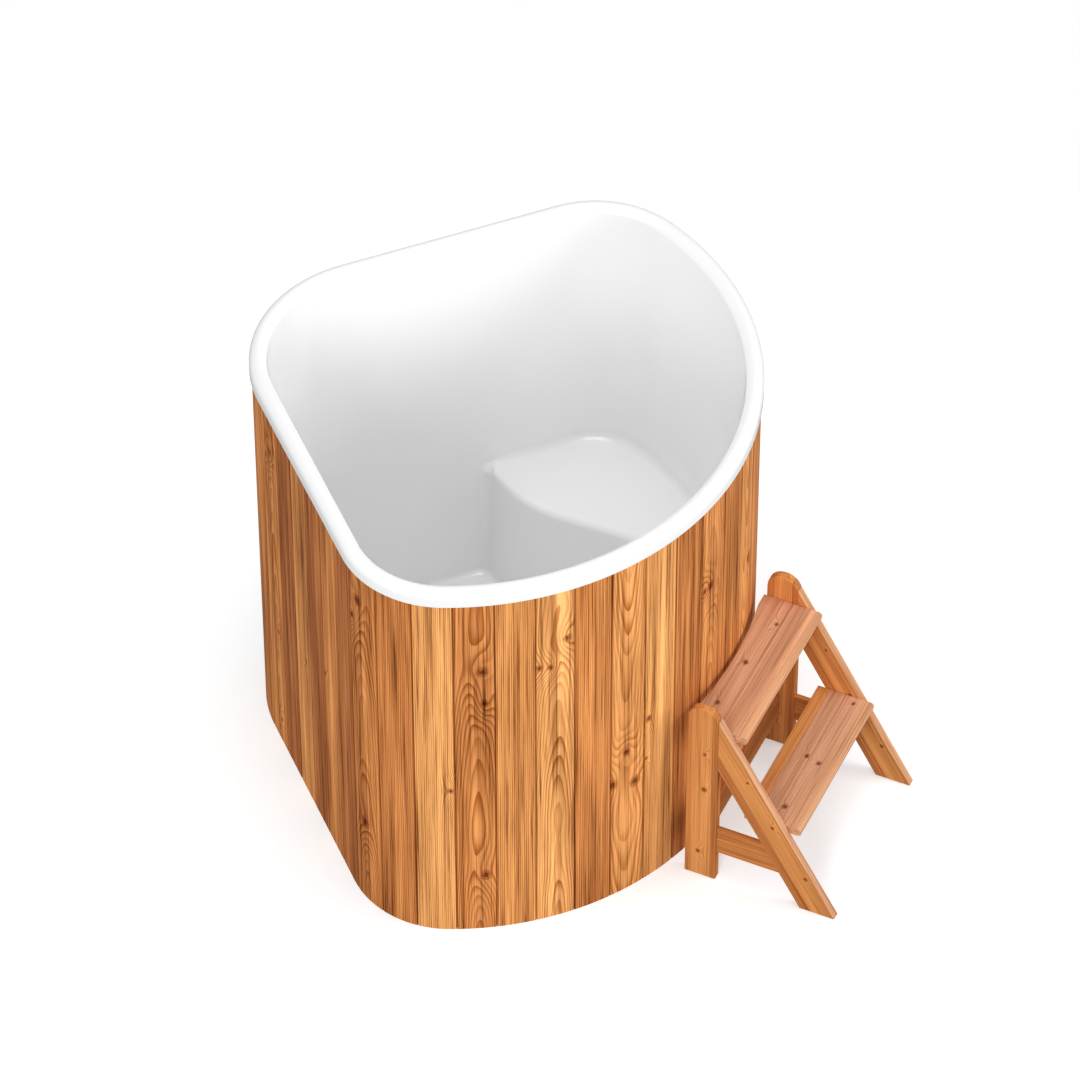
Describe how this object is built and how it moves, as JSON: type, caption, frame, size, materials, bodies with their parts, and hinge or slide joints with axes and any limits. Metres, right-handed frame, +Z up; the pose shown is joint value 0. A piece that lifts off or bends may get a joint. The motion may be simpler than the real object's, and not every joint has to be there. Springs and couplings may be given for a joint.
{
  "type": "corner hot tub",
  "caption": "Timber-clad corner hot tub with a round front, a moulded liner with a seat on each side, a floor drain with a lever valve, and a free-standing two-step stool.",
  "frame": {"origin": "on the floor, on the axis of the curved front, under the joist that crosses there", "axes": "+Z up, +Y towards the corner of the room, -Y to the front where the stool stands, +X to the side where the drain valve is"},
  "size_m": [1.3792, 1.4537, 1.036],
  "materials": {
    "moulded_liner": "gloss",
    "cladding": "satin",
    "plywood": "matte",
    "insulation": "matte",
    "joist_timber": "matte",
    "stainless": "satin",
    "screws": "satin",
    "gasket": "matte",
    "white_plastic": "satin",
    "grey_pipe": "satin",
    "plated_brass": "polished",
    "lever_steel": "satin",
    "lever_sleeve": "satin",
    "stool_wood": "satin"
  },
  "bodies": {
    "tub": {"liner": "moulded_liner", "front_staves": "cladding", "left_side_staves": "cladding", "right_side_staves": "cladding", "left_wall_staves": "cladding", "right_wall_staves": "cladding", "rear_corner_staves": "cladding", "cap_ring": "plywood", "top_hoop": "plywood", "middle_hoop": "plywood", "bottom_hoop": "plywood", "upper_insulation": "insulation", "lower_insulation": "insulation", "deck": "plywood", "joists": "joist_timber", "left_seat_trestle": "plywood", "right_seat_trestle": "plywood", "drain_flange": "stainless", "drain_gasket": "gasket", "drain_locknut": "white_plastic", "drain_elbow": "grey_pipe", "drain_pipe": "grey_pipe", "wall_rosette": "stainless", "valve_body": "plated_brass", "valve_seats": "white_plastic", "hose_spigot": "plated_brass"},
    "valve_handle": {"valve_ball": "plated_brass", "valve_stem": "stainless", "valve_lever": "lever_steel", "lever_grip": "lever_sleeve", "lever_nut": "stainless"},
    "stool": {"left_post": "stool_wood", "right_post": "stool_wood", "left_leg": "stool_wood", "right_leg": "stool_wood", "left_rail": "stool_wood", "right_rail": "stool_wood", "rear_stretcher": "stool_wood", "upper_tread_rear": "stool_wood", "upper_tread_front": "stool_wood", "lower_tread_rear": "stool_wood", "lower_tread_front": "stool_wood", "tread_cleats": "stool_wood", "cleat_screws": "screws"}
  },
  "joints": [
    {"name": "valve_turn", "type": "hinge", "parent": "tub", "child": "valve_handle", "pos_m": [0.66917, -0.19973, 0.044], "axis": [0, 0, 1], "range_deg": [0, 90]},
    {"name": "stool_slide", "type": "slide", "parent": "tub", "child": "stool", "axis": [0, -1, 0], "range_m": [0, 0.3]}
  ]
}
